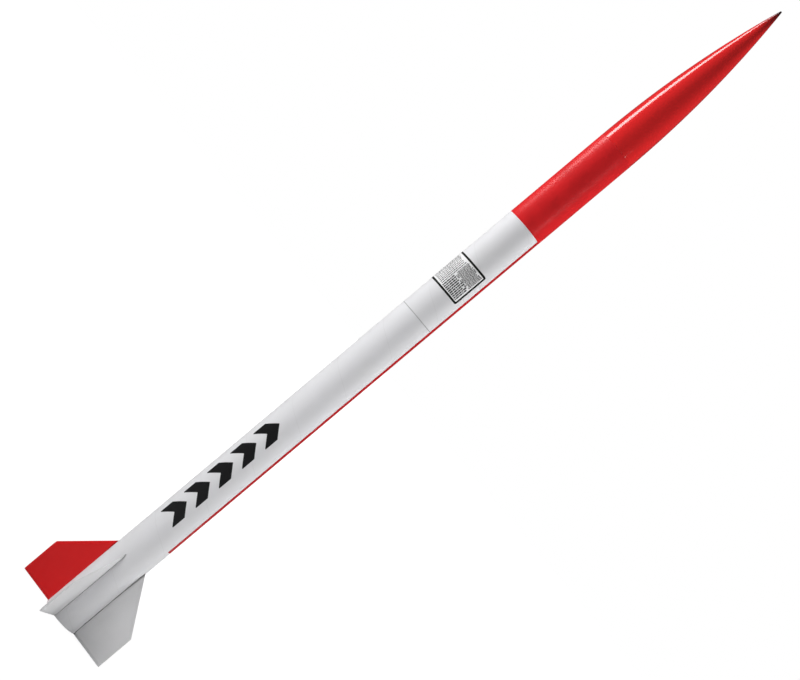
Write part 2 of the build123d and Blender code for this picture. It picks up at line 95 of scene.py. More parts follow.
def radial(azimuth):
    """The unit vector that points out at an azimuth."""
    return Vector((sin(radians(azimuth)), -cos(radians(azimuth)), 0))


def tangent(azimuth):
    """The unit vector that points the way azimuths grow."""
    return Vector((cos(radians(azimuth)), sin(radians(azimuth)), 0))


def up(z):
    return Vector((0, 0, z))


# -------- mesh building
def placed(name, data):
    """A new object in the scene."""
    obj = bpy.data.objects.new(name, data)
    bpy.context.collection.objects.link(obj)
    return obj


def piece(mesh, stands_for, slot, *materials, body="airframe", sharp=35):
    """Turns a mesh into a piece of the same name, on a body if one is given, that stands for a CAD node."""
    obj = placed(mesh.name, mesh)
    for material in materials:
        mesh.materials.append(material)
    mesh.shade_smooth()
    mesh.set_sharp_from_angle(angle=radians(sharp))
    if body:
        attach(obj, body)
    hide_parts(stands_for)
    return obj


def mesh_from(bm, name):
    mesh = bpy.data.meshes.new(name)
    bm.to_mesh(mesh)
    bm.free()
    return mesh


def mesh_of(name, verts, faces, face_materials=None):
    """A mesh from points and faces, with its normals turned outwards."""
    mesh = bpy.data.meshes.new(name)
    mesh.from_pydata([tuple(v) for v in verts], [], faces)
    if face_materials:
        mesh.polygons.foreach_set("material_index", face_materials)
    bm = bmesh.new()
    bm.from_mesh(mesh)
    bmesh.ops.recalc_face_normals(bm, faces=bm.faces)
    bm.to_mesh(mesh)
    bm.free()
    return mesh


def rounded(corners, radius, steps=4, closed=True):
    """A polygon with each corner replaced by a small arc. A corner is (x, y) or (x, y, own radius)."""
    points = []
    count = len(corners)
    for i, corner in enumerate(corners):
        here = Vector(corner[:2])
        if not closed and i in (0, count - 1):
            points.append(here)
            continue
        r = corner[2] if len(corner) > 2 else radius
        before = Vector(corners[i - 1][:2]) - here
        after = Vector(corners[(i + 1) % count][:2]) - here
        half = before.angle(after) / 2
        nearly_straight = half > radians(88)
        if r <= 0 or nearly_straight:
            points.append(here)
            continue
        sine, cosine = sin(half), cos(half)
        back = min(r * cosine / sine, 0.45 * before.length, 0.45 * after.length)
        r = back * sine / cosine
        centre = here + (before.normalized() + after.normalized()).normalized() * (r / sine)
        first = here + before.normalized() * back - centre
        last = here + after.normalized() * back - centre
        turn = first.angle_signed(last)
        for k in range(steps + 1):
            points.append(centre + Matrix.Rotation(-turn * k / steps, 2) @ first)
    return points


def revolve(name, profile, segments=192, material_of=None, closed=True):
    """Spins (radius, height) points about Z. An open profile starts and ends on the axis."""
    verts, faces, indices, rings = [], [], [], []
    on_axis = 0.0001 * MM
    turns = [tau * k / segments for k in range(segments)]
    for r, z in profile:
        if r < on_axis:
            rings.append([len(verts)] * segments)
            verts.append((0, 0, z))
            continue
        rings.append(range(len(verts), len(verts) + segments))
        verts += [(r * cos(turn), r * sin(turn), z) for turn in turns]
    for i in range(len(profile) if closed else len(profile) - 1):
        j = (i + 1) % len(profile)
        a, b = rings[i], rings[j]
        index = material_of(profile[i], profile[j]) if material_of else 0
        for k in range(segments):
            n = (k + 1) % segments
            faces.append(list(dict.fromkeys((a[k], a[n], b[n], b[k]))))
            indices.append(index)
    return mesh_of(name, verts, faces, indices)


def loft(name, sections):
    """Skins closed sections of equal point count, and caps both ends."""
    count = len(sections[0])
    verts = [p for section in sections for p in section]
    faces = []
    for i in range(len(sections) - 1):
        for k in range(count):
            n = (k + 1) % count
            faces.append((i * count + k, i * count + n, (i + 1) * count + n, (i + 1) * count + k))
    faces.append(tuple(range(count)))
    faces.append(tuple(range(len(verts) - count, len(verts))))
    return mesh_of(name, verts, faces)


def smooth_path(points, count):
    """Evenly spaced points on a Catmull-Rom curve through the given points."""
    pts = [Vector(p) for p in points]
    pts = [2 * pts[0] - pts[1]] + pts + [2 * pts[-1] - pts[-2]]
    steps = 40
    fine = []
    for i in range(1, len(pts) - 2):
        a, b, c, d = pts[i - 1 : i + 3]
        square = 2 * a - 5 * b + 4 * c - d
        cube = 3 * b - a - 3 * c + d
        for k in range(steps):
            t = k / steps
            fine.append((2 * b + (c - a) * t + square * t**2 + cube * t**3) / 2)
    fine.append(pts[-2])
    lengths = [0.0]
    for a, b in zip(fine, fine[1:]):
        lengths.append(lengths[-1] + (b - a).length)
    even, i = [], 0
    for k in range(count):
        target = lengths[-1] * k / (count - 1)
        while i < len(fine) - 2 and lengths[i + 1] < target:
            i += 1
        span = lengths[i + 1] - lengths[i] or 1
        even.append(fine[i].lerp(fine[i + 1], (target - lengths[i]) / span))
    return even


def cord_mesh(name, radius, loops, lines):
    """Round cords along closed loops and open lines, joined into one mesh with a UV around and along each."""
    verts, faces, uvs = [], [], []
    sides = 14
    for points, closed in [(path, True) for path in loops] + [(path, False) for path in lines]:
        first = len(verts)
        count = len(points)
        along = 0.0
        side = None
        for i, p in enumerate(points):
            ahead = points[(i + 1) % count] if closed or i < count - 1 else p
            behind = points[i - 1] if closed or i else p
            run = (ahead - behind).normalized()
            if side is None:
                side = run.orthogonal().normalized()
            side = (side - run * side.dot(run)).normalized()
            other = run.cross(side)
            if i:
                along += (p - points[i - 1]).length
            for k in range(sides):
                turn = tau * k / sides
                verts.append(p + radius * (side * cos(turn) + other * sin(turn)))
                uvs.append((k / sides, along))
        for i in range(count if closed else count - 1):
            j = (i + 1) % count
            shift = 0
            if closed and j == 0:
                target = verts[first + i * sides]
                shift = min(range(sides), key=lambda s: (verts[first + s] - target).length)
            here, there = first + i * sides, first + j * sides
            for k in range(sides):
                n = (k + 1) % sides
                faces.append((here + k, here + n, there + (n + shift) % sides, there + (k + shift) % sides))
        if not closed:
            faces.append(tuple(first + k for k in range(sides)))
            faces.append(tuple(first + (count - 1) * sides + k for k in range(sides)))
    mesh = mesh_of(name, verts, faces)
    layer = mesh.uv_layers.new(name="cord")
    for loop in mesh.loops:
        layer.data[loop.index].uv = uvs[loop.vertex_index]
    return mesh


def wrapped_film(name, outlines, base_r, thickness, azimuth, step=1.0 * MM):
    """Flat outlines in (arc length, height), wrapped round the body at an azimuth as thin closed films.

    An outline is a list of points, or a pair of lists of equal length: a ring's outer and inner edges."""
    bm = bmesh.new()
    for outline in outlines:
        if isinstance(outline, tuple):
            outer, inner = ([bm.verts.new((u, 0, v)) for u, v in edge] for edge in outline)
            for i in range(len(outer)):
                j = (i + 1) % len(outer)
                bm.faces.new((outer[i], outer[j], inner[j], inner[i]))
        else:
            bm.faces.new([bm.verts.new((u, 0, v)) for u, v in outline])
    bmesh.ops.triangulate(bm, faces=bm.faces)
    us = [v.co.x for v in bm.verts]
    for k in range(ceil(min(us) / step), ceil(max(us) / step)):
        everything = bm.verts[:] + bm.edges[:] + bm.faces[:]
        bmesh.ops.bisect_plane(bm, geom=everything, plane_co=(k * step, 0, 0), plane_no=(1, 0, 0))
    bmesh.ops.dissolve_limit(bm, angle_limit=0.01, verts=[], edges=[])
    top = bmesh.ops.extrude_face_region(bm, geom=bm.faces[:])["geom"]
    for v in (g for g in top if isinstance(g, bmesh.types.BMVert)):
        v.co.y = thickness
    centre = radians(azimuth)
    for v in bm.verts:
        turn = centre + v.co.x / base_r
        r = base_r + v.co.y
        v.co = Vector((r * sin(turn), -r * cos(turn), v.co.z))
    bmesh.ops.recalc_face_normals(bm, faces=bm.faces)
    return mesh_from(bm, name)


def rectangle(u0, u1, v0, v1):
    return [(u0, v0), (u1, v0), (u1, v1), (u0, v1)]


def apply_modifiers(obj):
    """Bakes a piece's modifiers into its mesh."""
    graph = bpy.context.evaluated_depsgraph_get()
    baked = bpy.data.meshes.new_from_object(obj.evaluated_get(graph))
    obj.modifiers.clear()
    obj.data = baked


def join(mesh, extra):
    """Adds one mesh's faces to another's."""
    bm = bmesh.new()
    bm.from_mesh(mesh)
    bm.from_mesh(extra)
    bm.to_mesh(mesh)
    bm.free()


# -------- node trees
class Nodes:
    """Adds shader nodes to a tree. All but add and feed hand back the socket that holds their result."""

    def __init__(self, tree):
        self.tree = tree

    def feed(self, socket, value):
        """Links a socket to another, or sets it to a value."""
        if isinstance(value, bpy.types.NodeSocket):
            self.tree.links.new(value, socket)
        else:
            socket.default_value = value

    def add(self, kind, inputs=None, settings=None):
        made = self.tree.nodes.new("ShaderNode" + kind)
        for key, value in (settings or {}).items():
            setattr(made, key, value)
        for key, value in (inputs or {}).items():
            self.feed(made.inputs[key], value)
        return made

    def math(self, operation, a, b=0.0):
        return self.add("Math", {0: a, 1: b}, {"operation": operation}).outputs[0]

    def ramp(self, value, low_in, high_in, low_out=0.0, high_out=1.0):
        inputs = {"Value": value, "From Min": low_in, "From Max": high_in}
        inputs.update({"To Min": low_out, "To Max": high_out})
        return self.add("MapRange", inputs, {"clamp": True}).outputs[0]


class Surface(Nodes):
    """A material in the making, with its object coordinates as place."""

    def __init__(self, name, **shader_inputs):
        self.material = bpy.data.materials.new(name)
        self.material.use_nodes = True
        super().__init__(self.material.node_tree)
        self.shader = self.tree.nodes["Principled BSDF"]
        self.place = self.add("TexCoord").outputs["Object"]
        for key, value in shader_inputs.items():
            self.set(key.replace("_", " ").title().replace("Ior", "IOR"), value)

    def set(self, name, value):
        self.feed(self.shader.inputs[name], value)

    def split(self, vector):
        return self.add("SeparateXYZ", {"Vector": vector}).outputs

    def times(self, a, b):
        return self.math("MULTIPLY", a, b)

    def noise(self, scale, detail=4.0, roughness=0.5, stretch=None):
        place = self.place
        if stretch:
            place = self.add("Mapping", {"Vector": place, "Scale": stretch}).outputs[0]
        inputs = {"Vector": place, "Scale": scale, "Detail": detail, "Roughness": roughness}
        return self.add("TexNoise", inputs).outputs["Fac"]

    def mix(self, factor, a, b):
        """A colour between two, each a socket or an (r, g, b)."""
        made = self.add("Mix", {"Factor": factor}, {"data_type": "RGBA"})
        for socket, value in ((made.inputs[6], a), (made.inputs[7], b)):
            self.feed(socket, (*value, 1) if isinstance(value, tuple) else value)
        return made.outputs[2]

    def bump(self, height, distance, strength, under=None):
        """A bump on the surface, on top of another one if that is given."""
        inputs = {"Height": height, "Distance": distance, "Strength": strength}
        if under:
            inputs["Normal"] = under
        made = self.add("Bump", inputs).outputs[0]
        self.set("Normal", made)
        return made

    def seam(self, pitch, width):
        """1 on a helical seam round Z of the given pitch and width, falling to 0 beside it."""
        x, y, z = self.split(self.place)
        angle = self.math("DIVIDE", self.math("ARCTAN2", y, x), tau)
        turn = self.math("FRACT", self.math("ADD", self.math("DIVIDE", z, pitch), angle))
        away = self.times(self.math("PINGPONG", turn, 0.5), pitch)
        return self.ramp(away, 0.0, width, 1.0, 0.0)


# -------- materials
# Nearly all of a noise's values lie in the first span, and most of them in the second.
WIDE = (0.3, 0.7)
NARROW = (0.35, 0.65)
# The pitch and width of the seams of a spiral-wound paper tube.
OUTER_SEAM = (92 * MM, 1.1 * MM)
KRAFT_SEAM = (76 * MM, 0.9 * MM)


def darker(colour, share):
    return tuple(c * share for c in colour)


def lacquered_paper():
    """White lacquer on a spiral-wound paper tube: faint seams, soft orange peel, marks, and painted shade
    along the joint.
    """
    s = Surface("lacquered_paper", coat_weight=0.12, coat_roughness=0.2)
    mottle = s.noise(14, 6, 0.6)
    seam = s.seam(*OUTER_SEAM)
    scuffs = s.ramp(s.noise(60, 8, 0.65, (1, 1, 0.25)), 0.62, 0.8)
    clean = s.mix(s.ramp(mottle, *NARROW), (0.86, 0.86, 0.885), (0.84, 0.84, 0.855))
    marked = s.mix(s.times(scuffs, 0.2), clean, (0.64, 0.63, 0.61))
    seamed = s.mix(s.times(seam, 0.12), marked, (0.5, 0.49, 0.47))
    from_joint = s.math("ABSOLUTE", s.math("SUBTRACT", s.split(s.place)[2], JOINT_Z))
    # Painted shade: a narrow dark band along the groove where the two tubes meet.
    painted_shade = s.ramp(from_joint, JOINT_EASE, JOINT_EASE + 0.5 * MM, 0.7, 0.0)
    s.set("Base Color", s.mix(painted_shade, seamed, (0.30, 0.30, 0.30)))
    s.set("Roughness", s.ramp(mottle, *WIDE, 0.40, 0.52))
    peel = s.bump(s.noise(900, 3), 0.02 * MM, 0.35)
    s.bump(s.math("SUBTRACT", 1.0, seam), 0.05 * MM, 0.5, peel)
    return s.material


def kraft_paper():
    """Bare brown spiral-wound paper, with fibres and darker seams."""
    s = Surface("kraft_paper", roughness=0.85)
    fibres = s.noise(700, 6, 0.7, (1, 1, 0.35))
    fibrous = s.mix(s.ramp(fibres, 0.35, 0.7), (0.40, 0.27, 0.155), (0.56, 0.41, 0.26))
    blotched = s.mix(s.ramp(s.noise(45, 5), 0.4, 0.7, 0.0, 0.35), fibrous, (0.34, 0.225, 0.13))
    s.set("Base Color", s.mix(s.times(s.seam(*KRAFT_SEAM), 0.5), blotched, (0.22, 0.14, 0.08)))
    s.bump(fibres, 0.08 * MM, 0.5)
    return s.material


def gloss_red_plastic():
    """Moulded, polished red plastic: a trace of flow in the colour, an uneven polish, and painted shade on
    the tip.
    """
    s = Surface("gloss_red_plastic", coat_weight=0.7, coat_roughness=0.14)
    moulded = s.mix(s.noise(9, 3, 0.5, (1, 1, 0.2)), (0.80, 0.020, 0.021), (0.86, 0.023, 0.024))
    # Painted shade: the colour darkens over the last few centimetres to the tip.
    painted_tip_shade = s.ramp(s.split(s.place)[2], TIP_Z - 55 * MM, TIP_Z - 4 * MM)
    s.set("Base Color", s.mix(s.math("POWER", painted_tip_shade, 1.5), moulded, (0.03, 0.006, 0.006)))
    s.set("Roughness", s.ramp(s.noise(25), *WIDE, 0.14, 0.20))
    return s.material


def vinyl(name, colour, roughness, painted_glow=0.0):
    """Self-adhesive film: a slight pebble, and tiny variation where it lies on the paper's seams.

    A painted glow, as emission, makes white label stock give back a little more light than it gets."""
    # The emission strength is a painted glow; the film is no lamp.
    s = Surface(name, emission_color=(1, 1, 1, 1), emission_strength=painted_glow)
    tone = s.noise(30)
    s.set("Base Color", s.mix(s.ramp(tone, *NARROW), colour, darker(colour, 0.88)))
    s.set("Roughness", s.ramp(tone, *WIDE, roughness, roughness + 0.08))
    pebble = s.bump(s.noise(1600, 2), 0.01 * MM, 0.15)
    s.bump(s.math("SUBTRACT", 1.0, s.seam(*OUTER_SEAM)), 0.04 * MM, 0.3, pebble)
    return s.material


def painted_wood(name, colour):
    """Sealed, sanded and painted fin stock: the grain just telegraphs through and the edges rub.

    Painted shade darkens the paint along the root, and reaches furthest out at the front end."""
    s = Surface(name, coat_weight=0.05, coat_roughness=0.25, specular_ior_level=0.35)
    grain = s.noise(420, 5, 0.6, (1, 1, 0.06))
    base = s.mix(s.ramp(s.noise(22, 5), *NARROW), colour, darker(colour, 0.95))
    rub = s.ramp(s.add("NewGeometry").outputs["Pointiness"], 0.56, 0.66)
    patchy = s.ramp(s.noise(160, 6, 0.7), 0.52, 0.68)
    rubbed = s.mix(s.times(s.times(rub, patchy), 0.35), base, (0.55, 0.44, 0.32))
    x, y, z = s.split(s.place)
    from_axis = s.math("SQRT", s.math("ADD", s.times(x, x), s.times(y, y)))
    # Painted shade in the corner where the fin meets the tube, widest at the front end.
    thin, thick = TUBE_R + 2 * ROOT_EASE, TUBE_R + 8 * ROOT_EASE
    painted_shade_reach = s.ramp(z, FIN_ROOT_TOP - 45 * MM, FIN_ROOT_TOP, thin, thick)
    painted_shade = s.ramp(from_axis, TUBE_R + ROOT_EASE, painted_shade_reach, 0.85, 0.0)
    s.set("Base Color", s.mix(painted_shade, rubbed, darker(colour, 0.12)))
    s.set("Roughness", s.ramp(grain, *WIDE, 0.38, 0.52))
    s.bump(grain, 0.03 * MM, 0.5)
    return s.material


def plywood():
    """Birch ply: grain on the faces, and thin dark and light plies on the cut edges."""
    s = Surface("birch_plywood", roughness=0.62)
    veneer = 1.07 * MM
    grain = s.noise(260, 8, 0.65, (0.12, 1, 1))
    face = s.mix(s.ramp(grain, 0.35, 0.7), (0.62, 0.43, 0.25), (0.76, 0.58, 0.37))
    plies = s.ramp(s.math("SINE", s.times(s.split(s.place)[2], tau / veneer)), -0.3, 0.3)
    edge = s.mix(plies, (0.36, 0.20, 0.09), (0.66, 0.47, 0.28))
    normal = s.split(s.add("NewGeometry").outputs["Normal"])[2]
    s.set("Base Color", s.mix(s.ramp(s.math("ABSOLUTE", normal), 0.5, 0.8), edge, face))
    s.bump(grain, 0.06 * MM, 0.5)
    return s.material


def metal(name, tone, dark, light, polish, marks, marks_depth):
    """Bare metal: a mottled tone between two colours, a polish that varies, and fine marks as a bump.

    tone and marks are noise settings; polish is noise settings and the roughness at both ends."""
    s = Surface(name, metallic=1.0)
    s.set("Base Color", s.mix(s.noise(*tone), dark, light))
    settings, smooth, rough = polish
    s.set("Roughness", s.ramp(s.noise(*settings), *WIDE, smooth, rough))
    s.bump(s.noise(*marks), 0.01 * MM, marks_depth)
    return s.material


def plated_steel():
    """Zinc-plated steel with a faint mottled passivation and drawn lines."""
    polish = ((900,), 0.22, 0.40)
    marks = (1500, 4, 0.6, (1, 1, 0.1))
    return metal("plated_steel", (160, 5), (0.56, 0.57, 0.60), (0.70, 0.70, 0.69), polish, marks, 0.4)


def spring_steel():
    """Blued spring strip, brushed lengthwise."""
    brushed = (2600, 4, 0.6, (1, 1, 0.02))
    polish = (brushed, 0.22, 0.38)
    return metal("spring_steel", (120,), (0.30, 0.32, 0.36), (0.42, 0.42, 0.42), polish, brushed, 0.5)


def brass():
    tone = (400, 5)
    return metal("swivel_brass", tone, (0.62, 0.42, 0.15), (0.78, 0.58, 0.26), (tone, 0.18, 0.36), tone, 0.3)


def moulded_plastic(name, colour):
    """Matt moulded plastic with a fine spark-eroded texture."""
    s = Surface(name, roughness=0.5)
    s.set("Base Color", s.mix(s.noise(35), colour, darker(colour, 0.86)))
    s.bump(s.noise(2600, 2), 0.02 * MM, 0.5)
    return s.material


def braid(name, light, dark, strand):
    """Braided cord: diagonal strands cross in both directions over the cord's own UV, along and around."""
    s = Surface(name, roughness=0.8, sheen_weight=0.4)
    around, along, _ = s.split(s.add("UVMap", settings={"uv_map": "cord"}).outputs[0])
    strands_around = 6
    turns = s.times(around, strands_around)
    rows = s.math("DIVIDE", along, strand)
    over = s.math("SINE", s.times(s.math("ADD", rows, turns), pi))
    under = s.math("SINE", s.times(s.math("SUBTRACT", rows, turns), pi))
    weave = s.math("MAXIMUM", s.math("ABSOLUTE", over), s.math("ABSOLUTE", under))
    colour = s.mix(s.ramp(weave, 0.5, 1.0), dark, light)
    s.set("Base Color", s.mix(s.ramp(s.noise(500), 0.4, 0.8, 0.0, 0.3), colour, dark))
    s.bump(weave, 0.25 * MM, 0.8)
    return s.material


def ripstop(name, colour, pack_r):
    """Thin ripstop nylon: a fine weave with a heavier thread every few millimetres, and a soft sheen.

    The threads run round and along a pack of the given radius."""
    s = Surface(name, roughness=0.48, sheen_weight=0.35, coat_weight=0.08)
    x, y, z = s.split(s.place)
    turn = s.math("ARCTAN2", y, x)

    def threads(pitch, power):
        count = round(tau * pack_r / pitch)

        def wave(value, rate):
            return s.math("POWER", s.math("ABSOLUTE", s.math("SINE", s.times(value, rate))), power)

        return s.math("MINIMUM", wave(turn, count / 2), wave(z, pi / pitch))

    heavy = s.math("SUBTRACT", 1.0, s.ramp(threads(5.0 * MM, 1.0), 0.0, 0.14))
    fine = threads(0.45 * MM, 0.5)
    base = s.mix(s.ramp(s.noise(40, 5), *WIDE), colour, darker(colour, 0.82))
    s.set("Base Color", s.mix(s.times(heavy, 0.35), base, darker(colour, 0.6)))
    woven = s.bump(fine, 0.05 * MM, 0.5)
    s.bump(heavy, 0.12 * MM, 0.6, woven)
    return s.material


WHITE_TUBE = lacquered_paper()
KRAFT = kraft_paper()
NOSE_RED = gloss_red_plastic()
RED_FILM = vinyl("red_vinyl", (0.80, 0.021, 0.025), 0.34)
STRIPE_FILM = vinyl("stripe_vinyl", (0.56, 0.014, 0.018), 0.40)
# The white film carries a small painted glow.
WHITE_FILM = vinyl("white_vinyl", (0.92, 0.92, 0.93), 0.35, painted_glow=0.08)
BLACK_FILM = vinyl("black_vinyl", (0.008, 0.008, 0.009), 0.40)
BLACK_PRINT = vinyl("black_print", (0.004, 0.004, 0.004), 0.6)
GREY_PRINT = vinyl("grey_print", (0.05, 0.05, 0.05), 0.6)
FIN_WHITE = painted_wood("painted_wood_white", (0.77, 0.77, 0.78))
FIN_RED = painted_wood("painted_wood_red", (0.76, 0.010, 0.012))
PLYWOOD = plywood()
PLATED = plated_steel()
SPRING = spring_steel()
BRASS = brass()
PLUG_PLASTIC = moulded_plastic("plug_plastic", (0.62, 0.60, 0.54))
BAND_FILM = moulded_plastic("band_polyester", (0.06, 0.06, 0.065))
ELASTIC = braid("elastic_braid", (0.78, 0.74, 0.64), (0.42, 0.38, 0.30), 1.6 * MM)
THREAD = braid("line_braid", (0.80, 0.80, 0.77), (0.45, 0.45, 0.43), 0.9 * MM)
NYLON = ripstop("ripstop_nylon", (0.84, 0.17, 0.025), high("parachute_canopy").x)


# -------- airframe
TAB_BOTTOM = 24 * MM
TAB_TOP = 112 * MM
SLOT_CLEARANCE = 0.1 * MM


def span(node_name):
    """The bottom and the top height of a CAD node."""
    return low(node_name).z, high(node_name).z


def bore_r(mount):
    return MOUNTS[mount]["dims"]["r_mm"] * MM


def tube_profile(outer, inner, bottom, top, edge, rows=12):
    """A tube's closed section, with rounded lips and a few rows up its walls."""
    edge = min(edge, 0.45 * (outer - inner))
    corners = rounded([(outer, bottom), (outer, top), (inner, top), (inner, bottom)], edge)
    profile = []
    for i, point in enumerate(corners):
        profile.append(point)
        following = corners[(i + 1) % len(corners)]
        up_a_wall = (following - point).length > 0.5 * (top - bottom)
        if up_a_wall:
            profile += [point.lerp(following, k / rows) for k in range(1, rows)]
    return profile


def paper_side(a, b):
    """Material 0, the lacquer, on a tube's outside, and 1, the bare paper, in its ends and on its inside."""
    return 0 if min(a[0], b[0]) > TUBE_R - JOINT_EASE - 0.01 * MM else 1


def body_tube(name, node_name):
    """A body tube, with the eased ends that show as a fine line where the two tubes meet."""
    profile = tube_profile(TUBE_R, BORE_R, *span(node_name), JOINT_EASE)
    mesh = revolve(name, profile, material_of=paper_side)
    return piece(mesh, node_name, "white_tube", WHITE_TUBE, KRAFT)


def lower_tube():
    """The slotted tube: each slot is cut by a box, and the cut is applied."""
    obj = body_tube("lower_tube", "lower_body_tube")
    boxes = bmesh.new()
    size = (6 * MM, FIN_THICKNESS + 2 * SLOT_CLEARANCE, TAB_TOP - TAB_BOTTOM + 2 * SLOT_CLEARANCE)
    for azimuth in FIN_AZIMUTHS.values():
        centre = radial(azimuth) * TUBE_R + up((TAB_TOP + TAB_BOTTOM) / 2)
        place = Matrix.Translation(centre) @ Matrix.Rotation(radians(azimuth - 90), 4, "Z")
        bmesh.ops.create_cube(boxes, size=1, matrix=place @ Matrix.Diagonal((*size, 1)))
    cutter = placed("slot_cutters", mesh_from(boxes, "slot_cutters"))
    cut = obj.modifiers.new("slots", "BOOLEAN")
    cut.operation = "DIFFERENCE"
    cut.object = cutter
    cut.solver = "EXACT"
    apply_modifiers(obj)
    bpy.data.objects.remove(cutter)


def inner_tube(name, node_name, outer, inner):
    """A bare paper tube inside the body."""
    profile = tube_profile(outer, inner, *span(node_name), 0.2 * MM, rows=4)
    piece(revolve(name, profile, 144), node_name, "kraft_tube", KRAFT)


def inner_tubes():
    coupler_r = high("tube_coupler").x
    coupler_wall = 1.05 * MM
    mount_r = high("motor_mount_tube").x
    stop_bore_r = 12 * MM
    inner_tube("coupler", "tube_coupler", coupler_r, coupler_r - coupler_wall)
    inner_tube("mount_tube", "motor_mount_tube", mount_r, bore_r("motor_bore"))
    inner_tube("thrust_stop", "thrust_ring", mount_r, stop_bore_r)


# -------- fins
TIP_CHORD = 66.2 * MM
FIN_EDGE = 1.0 * MM
BEVEL_WIDTH = 4.5 * MM


def fin_section(r, bottom, top, lower_bevel, upper_bevel, edge, inset=0.0):
    """The fin cut at one radius: bevelled at its trailing (bottom) and leading (top) edges, corners eased."""
    half = FIN_THICKNESS / 2 - inset
    rim = max(edge / 2 - inset, 0.1 * edge)
    bottom, top = bottom + inset, top - inset
    crisp, soft = 0.35 * MM, 2.5 * MM
    corners = [
        (-rim, bottom, crisp),
        (rim, bottom, crisp),
        (half, bottom + lower_bevel, soft),
        (half, top - upper_bevel, soft),
        (rim, top, crisp),
        (-rim, top, crisp),
        (-half, top - upper_bevel, soft),
        (-half, bottom + lower_bevel, soft),
    ]
    return [(r, y, z) for y, z in rounded(corners, 0)]


def fin_mesh(name):
    """A fin along +X: the tab through the wall, an eased root, the tapering blade and an eased tip."""
    tip_r = high("fin_right").x
    tab_r = low("fin_right").x
    sweep = (FIN_ROOT_TOP - TIP_CHORD) / (tip_r - TUBE_R)
    upper_bevel = BEVEL_WIDTH * sqrt(1 + sweep**2)
    tab_ease = 0.4 * MM
    tab = (TAB_BOTTOM, TAB_TOP, tab_ease, tab_ease, FIN_THICKNESS - 2 * tab_ease)
    sections = [fin_section(tab_r, *tab), fin_section(TUBE_R - 0.1 * MM, *tab)]

    def add(r, inset=0.0, swept=True):
        top = FIN_ROOT_TOP - sweep * (r - TUBE_R) if swept else FIN_ROOT_TOP
        sections.append(fin_section(r, 0, top, BEVEL_WIDTH, upper_bevel, FIN_EDGE, inset))

    for inset, out in ((ROOT_EASE, 0.0), (0.3 * ROOT_EASE, 0.3 * ROOT_EASE)):
        add(TUBE_R + out, inset, swept=False)
    stations = 20
    first, last = TUBE_R + ROOT_EASE, tip_r - 0.5 * MM
    for k in range(stations + 1):
        add(first + (last - first) * k / stations)
    for inset, back in ((0.12 * MM, 0.15 * MM), (0.3 * MM, 0.0)):
        add(tip_r - back, inset)
    return loft(name, sections)


def fins():
    for node_name, azimuth in FIN_AZIMUTHS.items():
        mesh = fin_mesh(node_name + "_blade")
        mesh.transform(Matrix.Rotation(radians(azimuth - 90), 4, "Z"))
        slot, paint = ("fin_red", FIN_RED) if node_name == "fin_red" else ("fin_white", FIN_WHITE)
        piece(mesh, node_name, slot, paint, sharp=50)


# -------- nose cone
def ogive(base_r, wall, heights):
    """(radius, height) points up a tangent ogive, inside the nose's outline by wall, from base to tip."""
    length = TIP_Z - TUBE_TOP
    curve_r = ((length - NOSE_TIP_R) ** 2 + TUBE_R**2 - NOSE_TIP_R**2) / (2 * (TUBE_R - NOSE_TIP_R))
    offset = curve_r - TUBE_R
    own = curve_r - wall
    top = sqrt(own**2 - offset**2) if wall else (length - NOSE_TIP_R) * curve_r / (curve_r - NOSE_TIP_R)
    start = sqrt(own**2 - (base_r + offset) ** 2) if base_r < own - offset else 0.0
    points = []
    for k in range(heights + 1):
        h = start + (top - start) * k / heights
        points.append((max(sqrt(own**2 - h**2) - offset, 0.0), TUBE_TOP + h))
    return points


def nose():
    """The hollow moulded nose: shoulder, crisp base step, ogive, and a small round tip."""
    shoulder_inner = SHOULDER_R - NOSE_WALL
    inner = ogive(shoulder_inner, NOSE_WALL, 60)
    outer = ogive(TUBE_R, 0.0, 140)
    ease = 0.35 * MM
    corners = [
        (shoulder_inner, SHOULDER_BOTTOM),
        (SHOULDER_R, SHOULDER_BOTTOM, 0.8 * MM),
        (SHOULDER_R, TUBE_TOP, 0.1 * MM),
        (TUBE_R, TUBE_TOP, ease),
        (TUBE_R, TUBE_TOP + 5 * ease),
    ]
    base = rounded(corners, 0, closed=False)
    tip_centre = TIP_Z - NOSE_TIP_R
    meet_r, meet_z = outer[-1]
    start = atan2(meet_z - tip_centre, meet_r)
    tip_rows = 8
    tip = []
    for k in range(1, tip_rows):
        turn = start + (pi / 2 - start) * k / tip_rows
        tip.append((NOSE_TIP_R * cos(turn), tip_centre + NOSE_TIP_R * sin(turn)))
    tip.append((0.0, TIP_Z))
    rows = [p for p in outer if p[1] > TUBE_TOP + 6 * ease]
    profile = [(0.0, inner[-1][1])] + inner[-2::-1] + base[:-1] + rows + tip
    mesh = revolve("nose_shell", profile, closed=False)
    piece(mesh, "nose_cone", "nose_red", NOSE_RED, body="nose")


def nose_plug():
    """The moulded disc that closes the shoulder, with a raised rim and a boss round the eye bolt."""
    r = high("nose_base_plug").x
    bottom, top = span("nose_base_plug")
    hole_r = 2.1 * MM
    boss_r = 7 * MM
    rim = 3 * MM
    slope = 1 * MM
    recessed = bottom + 1.2 * MM
    corners = [
        (hole_r, bottom),
        (boss_r, bottom),
        (boss_r + slope, recessed),
        (r - rim - slope, recessed),
        (r - rim, bottom),
        (r, bottom),
        (r, top),
        (hole_r, top),
    ]
    mesh = revolve("nose_plug", rounded(corners, 0.4 * MM), 144)
    piece(mesh, "nose_base_plug", "plug_plastic", PLUG_PLASTIC, body="nose")


# -------- trim films
def film_patch(node_name):
    """(azimuth of the middle, half the arc length, bottom, top) of a CAD film patch, from its mesh."""
    angles = [atan2(v.co.x, -v.co.y) for v in frame["nodes"][node_name].data.vertices]
    first, last = min(angles), max(angles)
    return (first + last) / 2 * 180 / pi, (last - first) * TUBE_R / 2, *span(node_name)


def nose_wrap():
    profile = tube_profile(TUBE_R + FILM, TUBE_R, *span("nose_end_wrap"), 0.04 * MM)
    piece(revolve("nose_wrap", profile), "nose_end_wrap", "red_film", RED_FILM)


